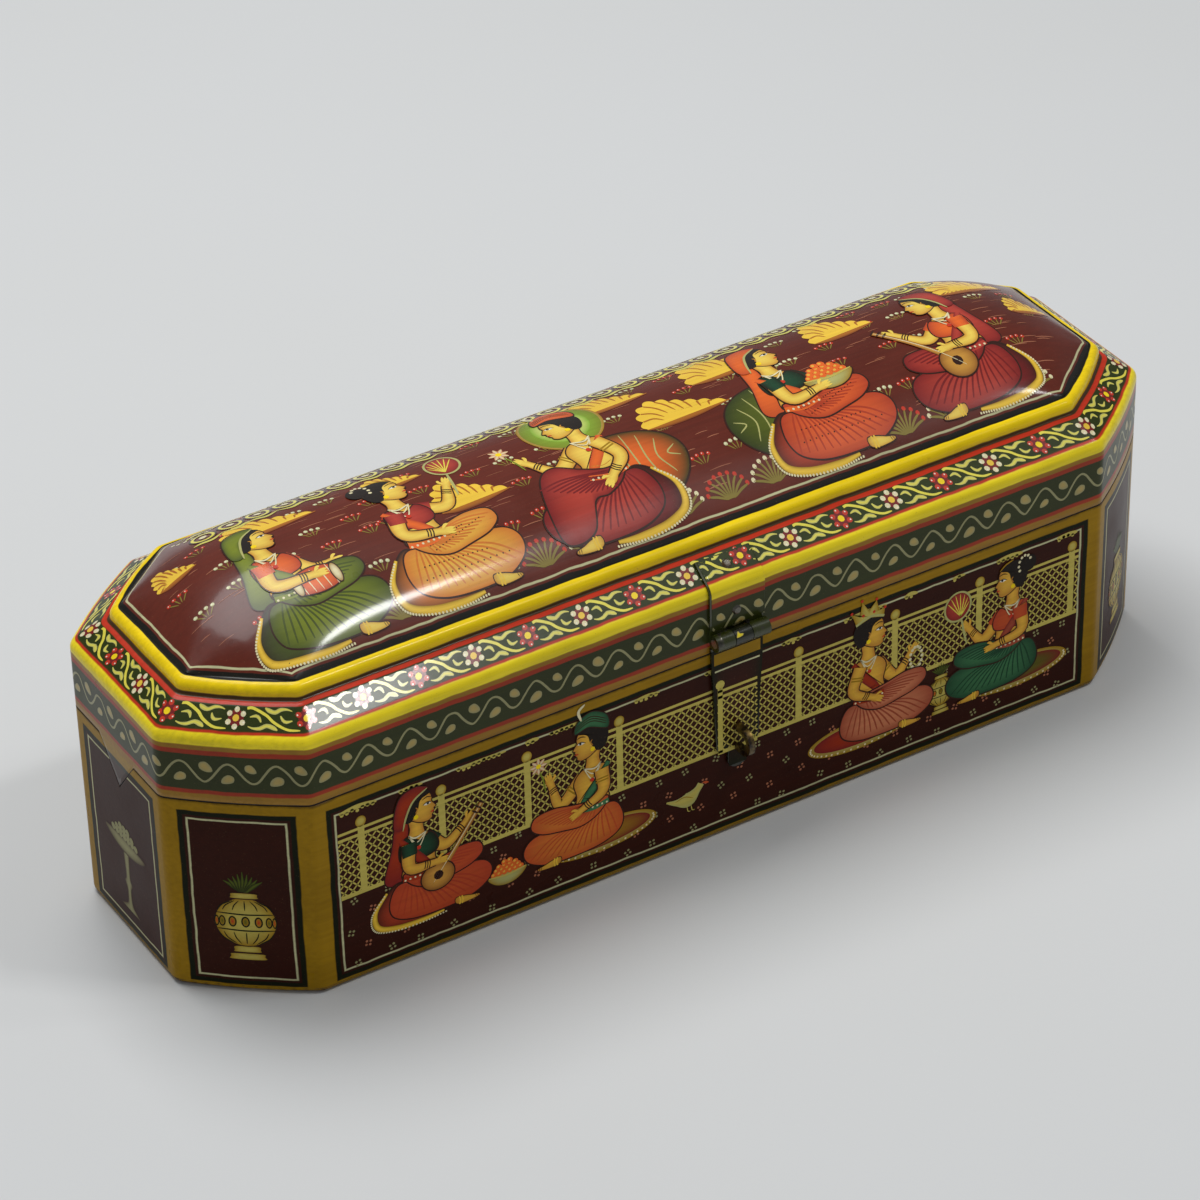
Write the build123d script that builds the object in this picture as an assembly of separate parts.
from build123d import *
import math
import os

# A long eight-sided painted wooden box with a hinged, domed lid and a strap hasp, in millimetres.
# The origin is the middle of the face that it rests on, +X runs along its length, the front
# faces -Y, and +Z is up.

# Plan of the box: a rectangle with its corners cut off slantwise
LENGTH = 305.0
WIDTH = 96.0
CORNER_ALONG = 30.0
CORNER_ACROSS = 24.5
CORNER_BOW = 1.0
EDGE_ROUNDING = 4.0

# Walls and floor
BASE_HEIGHT = 60.4
WALL = 8.0
FLOOR = 6.0
FOOT_ROUNDING = 2.0
SEAM_GAP = 0.2

# V-shaped key of each lid end, in its notch in the end wall
KEY_WIDTH = 19.0
KEY_DEPTH = 11.5
KEY_CLEARANCE = 0.25

# Lid: rails, moulded board and carved dome
RAIL_HEIGHT = 17.6
RIM_EDGE = 1.9
RIM_ROUNDING = 3.0
FRIEZE_RUN = 8.3
FRIEZE_RISE = 5.8
COVE_RUN = 1.5
BEAD_RISE = 4.1
BEAD_ROUNDING = 2.5
MOULDING_STEPS = 3
DOME_INSET = 12.6
DOME_RISE = 14.5
DOME_FULLNESS = 2.4
DOME_STEPS = 4

# Sheet-metal straps rolled round their pins
SHEET = 0.8
BARREL_RADIUS = 2.4
PIN_RADIUS = 1.3
PIN_CLEARANCE = 0.05
BARREL_STANDOFF = 0.15
KNUCKLE_GAP = 0.2
SHOULDER_CLEARANCE = 0.3
STRAP_REACH = 7.0
STRAP_ROUNDING = 1.5

# Back hinges
HINGE_WIDTH = 17.0
HINGE_SPACING_SHARE = 0.538
BODY_STRAP_LENGTH = 24.0

# Front hasp: slotted leaf and staple
HASP_X = 4.0
HASP_WIDTH = 16.4
HASP_AXIS_ABOVE_SEAM = 4.6
LEAF_LENGTH = 37.0
LEAF_END_WIDTH = 13.0
TONGUE_WIDTH = 6.0
TONGUE_LENGTH = 6.5
TONGUE_ROUNDING = 2.7
LEAF_GAP = 0.2
SLOT_ABOVE_STAPLE = 9.0
SLOT_BELOW_STAPLE = 5.5
SLOT_WIDTH = 3.4
STAPLE_BAR = 1.8
STAPLE_EYE = 2.3
STAPLE_REACH = 4.2
STAPLE_ABOVE_SHOULDER = 3.5
STAPLE_EMBED = 6.0
STAPLE_CLEARANCE = 0.02

# Nails through the straps
NAIL_RADIUS = 0.7
NAIL_LENGTH = 6.0
NAIL_HEAD_RADIUS = 1.5
NAIL_HEAD_HEIGHT = 0.6
NAIL_HEAD_TAPER = 40.0
NAIL_POINT_SHARE = 0.2
NAIL_TIP_SHARE = 0.3
NAIL_SIDES = 8
NAIL_CLEARANCE = 0.02
RAIL_NAIL_HEIGHT = 11.5
FRIEZE_NAIL_INSET = 4.4
BODY_NAIL_DROPS = (8.0, 18.0)

# Levels and places that follow from these
LID_BOTTOM = BASE_HEIGHT + SEAM_GAP
BOARD_BOTTOM = LID_BOTTOM + RAIL_HEIGHT
FRIEZE_BOTTOM = BOARD_BOTTOM + RIM_EDGE
FRIEZE_TOP = FRIEZE_BOTTOM + FRIEZE_RISE
DOME_BOTTOM = FRIEZE_TOP + BEAD_RISE
HINGE_AXIS = BASE_HEIGHT + SEAM_GAP / 2
HASP_AXIS = LID_BOTTOM + HASP_AXIS_ABOVE_SEAM
STAPLE_DROP = LEAF_LENGTH - STAPLE_ABOVE_SHOULDER
SLOT_TOP = STAPLE_DROP - SLOT_ABOVE_STAPLE
SLOT_BOTTOM = STAPLE_DROP + SLOT_BELOW_STAPLE
BARREL_OFFSET = BARREL_STANDOFF + BARREL_RADIUS
HINGE_SPACING = LENGTH * HINGE_SPACING_SHARE
FRIEZE_SLOPE = math.atan2(FRIEZE_RISE, FRIEZE_RUN)
MARGIN = 5.0

SIDES = ("front", "front_right", "right", "back_right", "back", "back_left", "left", "front_left")


def slant_normal():
    """Unit normal of the slanted corner in the +X +Y quarter."""
    slant = math.hypot(CORNER_ALONG, CORNER_ACROSS)
    return CORNER_ACROSS / slant, CORNER_ALONG / slant


def octagon(inset):
    """Corners of the plan drawn in by inset all round, anticlockwise from the front's left end."""
    nx, ny = slant_normal()
    half_length = LENGTH / 2 - inset
    half_width = WIDTH / 2 - inset
    reach = nx * LENGTH / 2 + ny * (WIDTH / 2 - CORNER_ACROSS) - inset
    end_y = (reach - nx * half_length) / ny
    front_x = (reach - ny * half_width) / nx
    return [
        (-front_x, -half_width), (front_x, -half_width),
        (half_length, -end_y), (half_length, end_y),
        (front_x, half_width), (-front_x, half_width),
        (-half_length, end_y), (-half_length, -end_y),
    ]


def outline(inset, level):
    """The plan as a face: straight sides, bowed corner sides and rounded edges."""
    corners = octagon(inset)
    nx, ny = slant_normal()
    edges = []
    for side, start in enumerate(corners):
        end = corners[(side + 1) % len(corners)]
        if side % 2 == 0:
            edges.append(Line(start, end))
            continue
        middle_x = (start[0] + end[0]) / 2
        middle_y = (start[1] + end[1]) / 2
        crown = (
            middle_x + math.copysign(CORNER_BOW * nx, middle_x),
            middle_y + math.copysign(CORNER_BOW * ny, middle_y),
        )
        edges.append(ThreePointArc(start, crown, end))
    face = make_face(edges)
    face = fillet(face.vertices(), EDGE_ROUNDING)
    return Pos(0, 0, level) * face


def sector(side, bottom, top):
    """Block that takes one side out of a ring, cut off along the mitres of its two corners."""
    outer = octagon(-MARGIN)
    inner = octagon(WALL + MARGIN)
    after = (side + 1) % len(outer)
    plan = Polygon(outer[side], outer[after], inner[after], inner[side], align=None)
    return extrude(Pos(0, 0, bottom) * plan, top - bottom)


def ring(bottom, top):
    """All the walls between two levels, in one piece."""
    outside = extrude(outline(0, bottom), top - bottom)
    inside = extrude(Pos(0, 0, bottom) * Polygon(*octagon(WALL), align=None), top - bottom)
    return outside - inside


def key_prism(clearance, top):
    """V-shaped bar along the whole box, wider than the key by clearance on both flanks."""
    half_width = KEY_WIDTH / 2
    flank = math.hypot(half_width, KEY_DEPTH)
    tip = LID_BOTTOM - KEY_DEPTH - clearance * flank / half_width
    spread = (top - tip) * half_width / KEY_DEPTH
    section = Plane.YZ * Polygon((0, tip), (spread, top), (-spread, top), align=None)
    return extrude(section, LENGTH / 2 + MARGIN, both=True)


def base_walls():
    """The eight walls, rounded at the foot and notched for the lid's keys, mitred apart."""
    walls = ring(0, BASE_HEIGHT)
    foot = [edge for edge in walls.edges().filter_by_position(Axis.Z, 0, 0)
            if edge.distance_to(Vertex(0, 0, 0)) > WIDTH / 2 - WALL / 2]
    walls = fillet(foot, FOOT_ROUNDING)
    walls -= key_prism(KEY_CLEARANCE, LID_BOTTOM)
    return {
        f"{name}_wall": walls & sector(side, 0, BASE_HEIGHT)
        for side, name in enumerate(SIDES)
    }


def bottom_board():
    """Floor of the box, let in between the walls."""
    return extrude(Polygon(*octagon(WALL), align=None), FLOOR)


def lid_rails():
    """The eight rails of the lid, the end ones with their keys, mitred apart."""
    keys = ring(LID_BOTTOM - KEY_DEPTH, LID_BOTTOM) & key_prism(0, LID_BOTTOM)
    rails = ring(LID_BOTTOM, BOARD_BOTTOM) + keys
    return {
        f"lid_{name}_rail": rails & sector(side, LID_BOTTOM - KEY_DEPTH, BOARD_BOTTOM)
        for side, name in enumerate(SIDES)
    }


def rim_centre():
    """Level of the centre that the rim is rounded about."""
    return FRIEZE_BOTTOM - RIM_ROUNDING * math.tan((math.pi / 2 - FRIEZE_SLOPE) / 2)


def quarter_round(inset, centre_level, radius, turn):
    """Insets and levels round an arc that starts upright at inset and leans in through turn."""
    return [
        (inset + radius * (1 - math.cos(angle)), centre_level + radius * math.sin(angle))
        for angle in (turn * step / MOULDING_STEPS for step in range(MOULDING_STEPS + 1))
    ]


def moulding(sections):
    """Solid through the plan drawn at each inset and level."""
    return loft([outline(inset, level) for inset, level in sections], ruled=True)


def lid_board():
    """Moulded board: rounded rim, sloping frieze, cove and bead."""
    rim = quarter_round(0, rim_centre(), RIM_ROUNDING, math.pi / 2 - FRIEZE_SLOPE)
    board = moulding([(0, BOARD_BOTTOM), *rim, (FRIEZE_RUN, FRIEZE_TOP)])
    step = FRIEZE_RUN + COVE_RUN
    bead = quarter_round(step, DOME_BOTTOM - BEAD_ROUNDING, BEAD_ROUNDING, math.pi / 2)
    return board + moulding([(step, FRIEZE_BOTTOM), *bead])


def arch(reach):
    """Arched section over the dome's base: it climbs from both ends to a level crown."""
    climb = WIDTH / 2 - DOME_INSET
    steepness = DOME_FULLNESS * DOME_RISE / climb
    rising = []
    for step in range(DOME_STEPS + 1):
        share = step / DOME_STEPS
        rising.append((reach - climb * share, DOME_RISE * (1 - (1 - share) ** DOME_FULLNESS)))
    crown = rising[-1][0]
    falling = [(-across, height) for across, height in reversed(rising)]
    boundary = [Spline(rising, tangents=[(-1, steepness), (-1, 0)], tangent_scalars=[1, 1])]
    if crown > 0:
        boundary.append(Line(rising[-1], falling[0]))
    boundary.append(Spline(falling, tangents=[(-1, 0), (-1, -steepness)], tangent_scalars=[1, 1]))
    boundary.append(Line(falling[-1], rising[0]))
    return make_face(boundary)


def arched_bar(reach, angle):
    """Bar with the arched section, whose two curved sides face along angle and away from it."""
    along = math.radians(angle)
    section_plane = Plane(
        origin=(0, 0, DOME_BOTTOM),
        x_dir=(math.cos(along), math.sin(along), 0),
        z_dir=(math.sin(along), -math.cos(along), 0),
    )
    return extrude(section_plane * arch(reach), LENGTH, both=True)


def lid_dome():
    """Pillow-shaped top, carved from one board: the same arch drawn in from all eight sides."""
    nx, ny = slant_normal()
    slant_angle = math.degrees(math.atan2(ny, nx))
    slant_reach = nx * LENGTH / 2 + ny * (WIDTH / 2 - CORNER_ACROSS) - DOME_INSET
    slant_reach += CORNER_BOW / 2
    pillow = arched_bar(WIDTH / 2 - DOME_INSET, 90)
    pillow &= arched_bar(LENGTH / 2 - DOME_INSET, 0)
    pillow &= arched_bar(slant_reach, slant_angle)
    pillow &= arched_bar(slant_reach, -slant_angle)
    return pillow


def nail(place, outward):
    """Cut nail with eight flats, its head sitting at place and facing outward."""
    point = NAIL_LENGTH * NAIL_POINT_SHARE
    shank_plan = RegularPolygon(NAIL_RADIUS, NAIL_SIDES)
    head_plan = RegularPolygon(NAIL_HEAD_RADIUS, NAIL_SIDES)
    head = extrude(head_plan, NAIL_HEAD_HEIGHT, taper=NAIL_HEAD_TAPER)
    shank = extrude(shank_plan, point - NAIL_LENGTH)
    tip = loft([
        Pos(0, 0, point - NAIL_LENGTH) * shank_plan,
        Pos(0, 0, -NAIL_LENGTH) * RegularPolygon(NAIL_RADIUS * NAIL_TIP_SHARE, NAIL_SIDES),
    ], ruled=True)
    return Plane(origin=place, z_dir=outward) * (head + shank + tip)


def nail_hole(place, outward):
    """Hole cut by the nail's shank, a little wider than it."""
    plan = RegularPolygon(NAIL_RADIUS + NAIL_CLEARANCE, NAIL_SIDES)
    return Plane(origin=place, z_dir=outward) * extrude(plan, NAIL_LENGTH, both=True)


def lid_nail_places(x, facing):
    """Where the nails of one lid strap sit: on the rail, and on the frieze past the rim."""
    on_rail = (x, facing * (WIDTH / 2 + SHEET), LID_BOTTOM + RAIL_NAIL_HEIGHT)
    level = FRIEZE_BOTTOM + FRIEZE_NAIL_INSET * FRIEZE_RISE / FRIEZE_RUN
    across = math.sin(FRIEZE_SLOPE)
    upward = math.cos(FRIEZE_SLOPE)
    on_frieze = (
        x,
        facing * (WIDTH / 2 - FRIEZE_NAIL_INSET + SHEET * across),
        level + SHEET * upward,
    )
    return [(on_rail, (0, facing, 0)), (on_frieze, (0, facing * across, upward))]


def wrapped_strap(width, axis_level, facing):
    """Strap up the rail, over the rim and along the frieze, rolled round its pin at the bottom."""
    centre_inset = RIM_ROUNDING
    centre_level = rim_centre()

    def bend(offset):
        radius = RIM_ROUNDING + offset
        start = (centre_inset - radius, centre_level)
        half_turn = (math.pi / 2 - FRIEZE_SLOPE) / 2
        middle = (
            centre_inset - radius * math.cos(half_turn),
            centre_level + radius * math.sin(half_turn),
        )
        end = (
            centre_inset - radius * math.sin(FRIEZE_SLOPE),
            centre_level + radius * math.cos(FRIEZE_SLOPE),
        )
        return start, middle, end

    def slope_end(offset):
        along = STRAP_REACH / math.cos(FRIEZE_SLOPE)
        return (
            along * math.cos(FRIEZE_SLOPE) - offset * math.sin(FRIEZE_SLOPE),
            FRIEZE_BOTTOM + along * math.sin(FRIEZE_SLOPE) + offset * math.cos(FRIEZE_SLOPE),
        )

    inner = bend(0)
    outer = bend(SHEET)
    boundary = [
        Line((0, axis_level), inner[0]),
        ThreePointArc(*inner),
        Line(inner[2], slope_end(0)),
        Line(slope_end(0), slope_end(SHEET)),
        Line(slope_end(SHEET), outer[2]),
        ThreePointArc(*reversed(outer)),
        Line(outer[0], (-SHEET, axis_level)),
        Line((-SHEET, axis_level), (0, axis_level)),
    ]
    section = make_face(boundary)
    place = Plane(origin=(0, facing * WIDTH / 2, 0), x_dir=(0, -facing, 0), z_dir=(-facing, 0, 0))
    return extrude(place * section, width / 2, both=True)


def barrel(width, axis_level, facing):
    """Place and length of the whole barrel, as a round bar along X."""
    bar = Cylinder(BARREL_RADIUS, width, rotation=(0, 90, 0))
    return Pos(0, facing * (WIDTH / 2 + BARREL_OFFSET), axis_level) * bar


def pin(width, axis_level, facing, clearance=0.0):
    """Pin through the barrel, or its bore when clearance is given."""
    bar = Cylinder(PIN_RADIUS + clearance, width, rotation=(0, 90, 0))
    return Pos(0, facing * (WIDTH / 2 + BARREL_OFFSET), axis_level) * bar


def knuckle_rooms(width, axis_level, facing, middle):
    """Room for the other leaf's knuckles: the middle third, or both outer thirds."""
    third = width / 3
    height = 2 * (BARREL_RADIUS + SHOULDER_CLEARANCE)
    depth = 2 * (BARREL_OFFSET + BARREL_RADIUS + SHOULDER_CLEARANCE)
    place = Pos(0, facing * WIDTH / 2, axis_level)
    if middle:
        return [place * Box(third + KNUCKLE_GAP, depth, height)]
    length = third + KNUCKLE_GAP / 2
    return [
        place * Pos(side * (width - length) / 2, 0, 0) * Box(length, depth, height)
        for side in (-1, 1)
    ]


def lid_strap(x, width, axis_level, facing):
    """Strap on the lid with the two outer knuckles."""
    strap = wrapped_strap(width, axis_level, facing)
    strap += barrel(width, axis_level, facing)
    strap -= pin(width + MARGIN, axis_level, facing, PIN_CLEARANCE)
    for room in knuckle_rooms(width, axis_level, facing, middle=True):
        strap -= room
    strap = Pos(x, 0, 0) * strap
    for place, outward in lid_nail_places(x, facing):
        strap -= nail_hole(place, outward)
    return strap


def body_nail_places(x):
    """Where the nails of one body strap sit on the back wall."""
    return [
        ((x, WIDTH / 2 + SHEET, HINGE_AXIS - drop), (0, 1, 0))
        for drop in BODY_NAIL_DROPS
    ]


def body_strap(x):
    """Strap on the back wall with the middle knuckle."""
    low = HINGE_AXIS - BODY_STRAP_LENGTH
    plate = Pos(0, WIDTH / 2 + SHEET / 2, (HINGE_AXIS + low) / 2) * Box(
        HINGE_WIDTH, SHEET, BODY_STRAP_LENGTH
    )
    corners = plate.edges().filter_by(Axis.Y).group_by(Axis.Z)[0]
    plate = fillet(corners, STRAP_ROUNDING)
    strap = plate + barrel(HINGE_WIDTH, HINGE_AXIS, 1)
    strap -= pin(HINGE_WIDTH + MARGIN, HINGE_AXIS, 1, PIN_CLEARANCE)
    for room in knuckle_rooms(HINGE_WIDTH, HINGE_AXIS, 1, middle=False):
        strap -= room
    strap = Pos(x, 0, 0) * strap
    for place, outward in body_nail_places(x):
        strap -= nail_hole(place, outward)
    return strap


def leaf_plan():
    """Outline of the hasp's leaf below its pin, with the slot that the staple comes through."""
    shoulder = -LEAF_LENGTH
    half_top = HASP_WIDTH / 2
    half_end = LEAF_END_WIDTH / 2
    blade = Polygon(
        (-half_top, 0), (-half_end, shoulder), (half_end, shoulder), (half_top, 0), align=None
    )
    blade = fillet(blade.vertices().group_by(Axis.Y)[0], STRAP_ROUNDING)
    tongue = Pos(0, shoulder) * Rectangle(TONGUE_WIDTH, 2 * TONGUE_LENGTH)
    tongue = fillet(tongue.vertices().group_by(Axis.Y)[0], TONGUE_ROUNDING)
    slot = SlotOverall(SLOT_BOTTOM - SLOT_TOP, SLOT_WIDTH, 90)
    return blade + tongue - Pos(0, -(SLOT_TOP + SLOT_BOTTOM) / 2) * slot


def hasp_leaf():
    """Slotted leaf hung from the hasp's pin, narrowing to a tongue at its lower end."""
    front = Plane(origin=(0, -WIDTH / 2 - LEAF_GAP, HASP_AXIS), x_dir=(1, 0, 0), z_dir=(0, -1, 0))
    leaf = extrude(front * leaf_plan(), SHEET)
    leaf += barrel(HASP_WIDTH, HASP_AXIS, -1)
    leaf -= pin(HASP_WIDTH + MARGIN, HASP_AXIS, -1, PIN_CLEARANCE)
    for room in knuckle_rooms(HASP_WIDTH, HASP_AXIS, -1, middle=False):
        leaf -= room
    return Pos(HASP_X, 0, 0) * leaf


def staple():
    """Flat bar bent round into an eye, its legs driven into the front wall."""
    reach = STAPLE_EMBED + STAPLE_REACH
    level = HASP_AXIS - STAPLE_DROP
    outer = 2 * (STAPLE_EYE + STAPLE_BAR)
    inner = 2 * STAPLE_EYE
    profile = Circle(STAPLE_EYE + STAPLE_BAR) + Pos(reach / 2, 0) * Rectangle(reach, outer)
    profile -= Circle(STAPLE_EYE) + Pos(reach / 2, 0) * Rectangle(reach, inner)
    middle = -WIDTH / 2 - STAPLE_REACH
    side = Plane(origin=(HASP_X, middle, level), x_dir=(0, 1, 0), z_dir=(1, 0, 0))
    return extrude(side * profile, STAPLE_BAR / 2, both=True)


def staple_holes():
    """Holes in the front wall for the staple's legs."""
    level = HASP_AXIS - STAPLE_DROP
    across = STAPLE_BAR + 2 * STAPLE_CLEARANCE
    leg = Box(across, 2 * (STAPLE_EMBED + STAPLE_CLEARANCE), across)
    return [
        Pos(HASP_X, -WIDTH / 2, level + side * (STAPLE_EYE + STAPLE_BAR / 2)) * leg
        for side in (-1, 1)
    ]


def drill_for_nails(parts):
    """Cuts the nails' holes in the wood, and gives the nails of the box and those of the lid."""
    hinge_xs = (-HINGE_SPACING / 2, HINGE_SPACING / 2)
    body_nails = [place for x in hinge_xs for place in body_nail_places(x)]
    lid_nails = lid_nail_places(HASP_X, -1)
    for x in hinge_xs:
        lid_nails += lid_nail_places(x, 1)
    for place, outward in body_nails:
        parts["back_wall"] -= nail_hole(place, outward)
    for place, outward in lid_nails:
        rail = "lid_front_rail" if place[1] < 0 else "lid_back_rail"
        wood = rail if outward[2] == 0 else "lid_board"
        parts[wood] -= nail_hole(place, outward)
    return body_nails, lid_nails


def build():
    """Every piece by its name."""
    parts = base_walls()
    parts["bottom_board"] = bottom_board()
    parts |= lid_rails()
    parts["lid_board"] = lid_board()
    parts["lid_dome"] = lid_dome()
    for hole in staple_holes():
        parts["front_wall"] -= hole
    parts["staple"] = staple()
    body_nails, lid_nails = drill_for_nails(parts)
    parts["hinge_body_nails"] = Compound([nail(*place) for place in body_nails])
    parts["lid_strap_nails"] = Compound([nail(*place) for place in lid_nails])
    for name, x in (("left", -HINGE_SPACING / 2), ("right", HINGE_SPACING / 2)):
        parts[f"{name}_hinge_body_strap"] = body_strap(x)
        parts[f"{name}_hinge_lid_strap"] = lid_strap(x, HINGE_WIDTH, HINGE_AXIS, 1)
        parts[f"{name}_hinge_pin"] = Pos(x, 0, 0) * pin(HINGE_WIDTH, HINGE_AXIS, 1)
    parts["hasp_strap"] = lid_strap(HASP_X, HASP_WIDTH, HASP_AXIS, -1)
    parts["hasp_pin"] = Pos(HASP_X, 0, 0) * pin(HASP_WIDTH, HASP_AXIS, -1)
    parts["hasp_leaf"] = hasp_leaf()
    return parts


os.makedirs("parts", exist_ok=True)
for node, piece in build().items():
    export_step(piece, f"parts/{node}.step")
